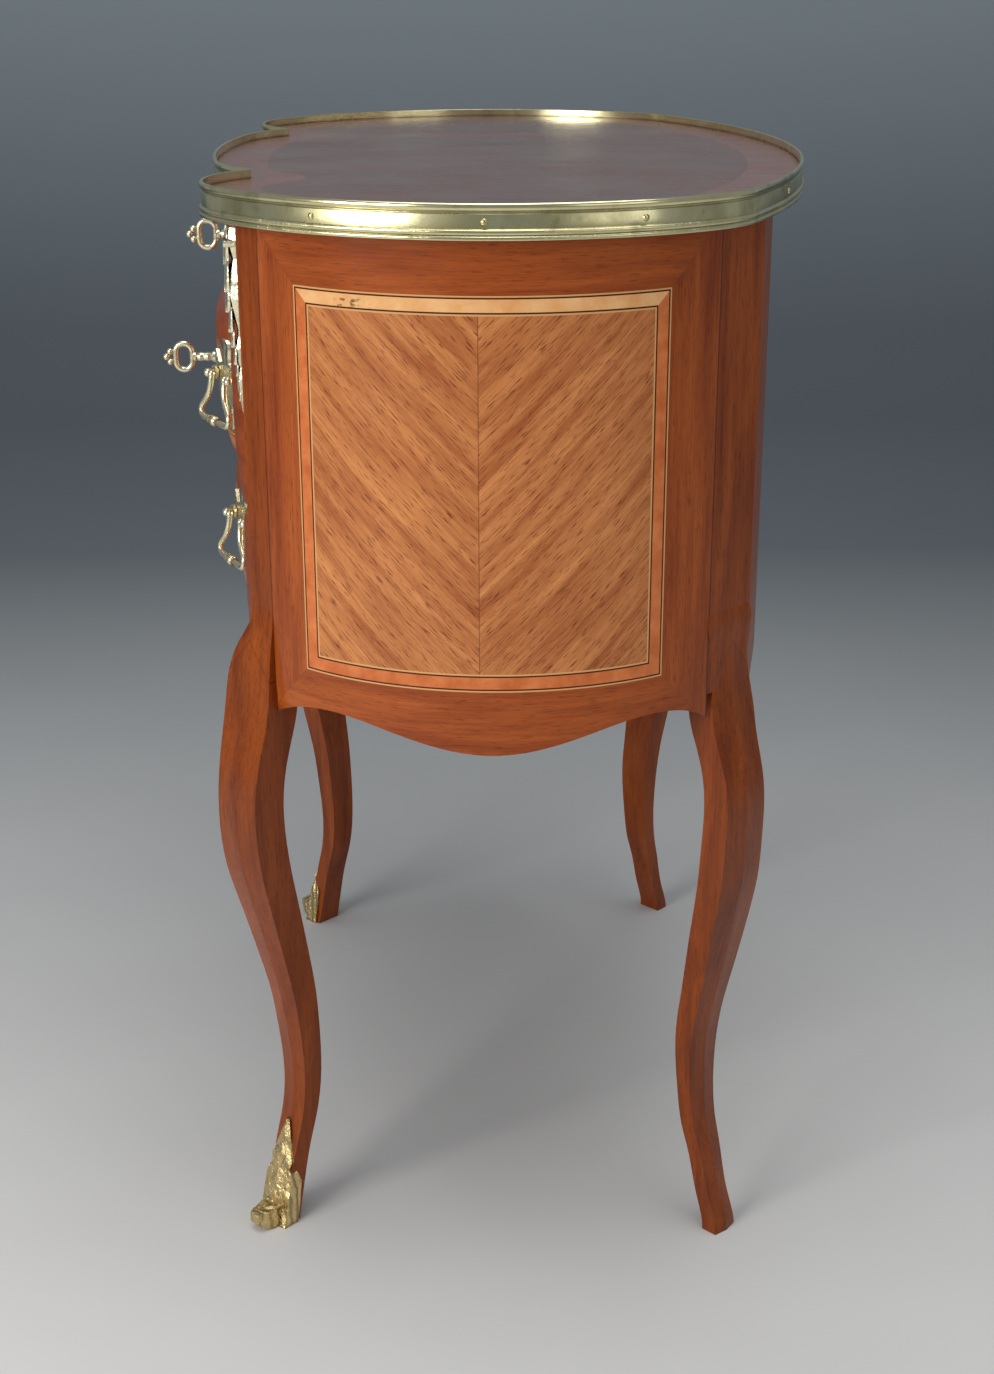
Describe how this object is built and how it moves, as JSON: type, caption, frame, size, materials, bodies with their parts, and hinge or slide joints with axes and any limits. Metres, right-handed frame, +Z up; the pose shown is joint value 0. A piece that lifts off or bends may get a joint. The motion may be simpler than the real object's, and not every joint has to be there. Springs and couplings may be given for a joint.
{
  "type": "dressing chest",
  "caption": "Small bow-ended commode with lobed front, bulging drawers, cabriole legs, brass-edged top and gilt mounts; drawers slide, bails swing and keys throw bolts.",
  "frame": {"origin": "on the floor, under the middle of the chest's bounding box", "axes": "+Z up; drawers open towards -Y; +X is the right side seen from the front"},
  "size_m": [0.7, 0.4699, 0.75],
  "materials": {
    "top_veneer": "satin French polish",
    "side_veneer": "satin French polish",
    "rail_veneer": "satin French polish",
    "leg_veneer": "glossy French polish",
    "front_veneer": "satin French polish",
    "carcase_oak": "planed, unfinished",
    "drawer_oak": "planed, unfinished",
    "edge_brass": "worn polish",
    "gilt_bronze": "gilt, lightly worn",
    "key_metal": "polished",
    "lock_brass": "dull",
    "iron_screw": "dull"
  },
  "bodies": {
    "carcase": {"top_board": "top_veneer", "brass_gallery": "edge_brass", "gallery_pins": "edge_brass", "top_screws": "iron_screw", "top_rail": "rail_veneer", "rear_top_rail": "carcase_oak", "frieze_rail": "rail_veneer", "middle_rail": "rail_veneer", "front_apron": "rail_veneer", "bottom_board": "carcase_oak", "frieze_runners": "carcase_oak", "middle_runners": "carcase_oak", "lower_runners": "carcase_oak", "frieze_dust_board": "carcase_oak", "middle_dust_board": "carcase_oak", "right_side_panel": "side_veneer", "left_side_panel": "side_veneer", "back_panel": "side_veneer", "right_front_leg": "leg_veneer", "left_front_leg": "leg_veneer", "right_rear_leg": "leg_veneer", "left_rear_leg": "leg_veneer", "right_chute": "gilt_bronze", "left_chute": "gilt_bronze", "right_sabot": "gilt_bronze", "left_sabot": "gilt_bronze"},
    "frieze_drawer": {"frieze_drawer_front": "front_veneer", "frieze_drawer_left_side": "drawer_oak", "frieze_drawer_right_side": "drawer_oak", "frieze_drawer_back": "drawer_oak", "frieze_drawer_bottom": "drawer_oak", "frieze_lock": "lock_brass", "frieze_escutcheon": "gilt_bronze"},
    "middle_drawer": {"middle_drawer_front": "front_veneer", "middle_drawer_left_side": "drawer_oak", "middle_drawer_right_side": "drawer_oak", "middle_drawer_back": "drawer_oak", "middle_drawer_bottom": "drawer_oak", "middle_lock": "lock_brass", "middle_escutcheon": "gilt_bronze", "right_middle_handle_plate": "gilt_bronze", "left_middle_handle_plate": "gilt_bronze", "middle_handle_nuts": "lock_brass"},
    "lower_drawer": {"lower_drawer_front": "front_veneer", "lower_drawer_left_side": "drawer_oak", "lower_drawer_right_side": "drawer_oak", "lower_drawer_back": "drawer_oak", "lower_drawer_bottom": "drawer_oak", "right_lower_handle_plate": "gilt_bronze", "left_lower_handle_plate": "gilt_bronze", "lower_handle_nuts": "lock_brass"},
    "frieze_key": {"frieze_key": "key_metal"},
    "frieze_bolt": {"frieze_bolt": "iron_screw"},
    "middle_key": {"middle_key": "key_metal"},
    "middle_bolt": {"middle_bolt": "iron_screw"},
    "right_middle_bail": {"right_middle_bail": "gilt_bronze"},
    "left_middle_bail": {"left_middle_bail": "gilt_bronze"},
    "right_lower_bail": {"right_lower_bail": "gilt_bronze"},
    "left_lower_bail": {"left_lower_bail": "gilt_bronze"}
  },
  "joints": [
    {"name": "frieze_drawer_slide", "type": "slide", "parent": "carcase", "child": "frieze_drawer", "axis": [0, -1, 0], "range_m": [0, 0.2]},
    {"name": "middle_drawer_slide", "type": "slide", "parent": "carcase", "child": "middle_drawer", "axis": [0, -1, 0], "range_m": [0, 0.2]},
    {"name": "lower_drawer_slide", "type": "slide", "parent": "carcase", "child": "lower_drawer", "axis": [0, -1, 0], "range_m": [0, 0.2]},
    {"name": "frieze_key_turn", "type": "hinge", "parent": "frieze_drawer", "child": "frieze_key", "pos_m": [0, -0.18, 0.6875], "axis": [0, 1, 0], "range_deg": [0, 180]},
    {"name": "frieze_bolt_throw", "type": "slide", "parent": "frieze_drawer", "child": "frieze_bolt", "axis": [0, 0, 1], "range_m": [0, 0.007]},
    {"name": "middle_key_turn", "type": "hinge", "parent": "middle_drawer", "child": "middle_key", "pos_m": [0, -0.18, 0.5965], "axis": [0, 1, 0], "range_deg": [0, 180]},
    {"name": "middle_bolt_throw", "type": "slide", "parent": "middle_drawer", "child": "middle_bolt", "axis": [0, 0, 1], "range_m": [0, 0.007]},
    {"name": "right_middle_bail_swing", "type": "hinge", "parent": "middle_drawer", "child": "right_middle_bail", "pos_m": [0.12367, -0.17918, 0.606], "axis": [-0.8793, -0.4763, 0], "range_deg": [0, 75]},
    {"name": "left_middle_bail_swing", "type": "hinge", "parent": "middle_drawer", "child": "left_middle_bail", "pos_m": [-0.12367, -0.17918, 0.606], "axis": [-0.8793, 0.4763, 0], "range_deg": [0, 75]},
    {"name": "right_lower_bail_swing", "type": "hinge", "parent": "lower_drawer", "child": "right_lower_bail", "pos_m": [0.12338, -0.17213, 0.5045], "axis": [-0.9048, -0.4259, 0], "range_deg": [0, 75]},
    {"name": "left_lower_bail_swing", "type": "hinge", "parent": "lower_drawer", "child": "left_lower_bail", "pos_m": [-0.12338, -0.17213, 0.5045], "axis": [-0.9048, 0.4259, 0], "range_deg": [0, 75]}
  ],
  "couplings": [
    {"joint": "frieze_bolt_throw", "follows": "frieze_key_turn", "m_per_rad": 0.002228},
    {"joint": "middle_bolt_throw", "follows": "middle_key_turn", "m_per_rad": 0.002228}
  ]
}
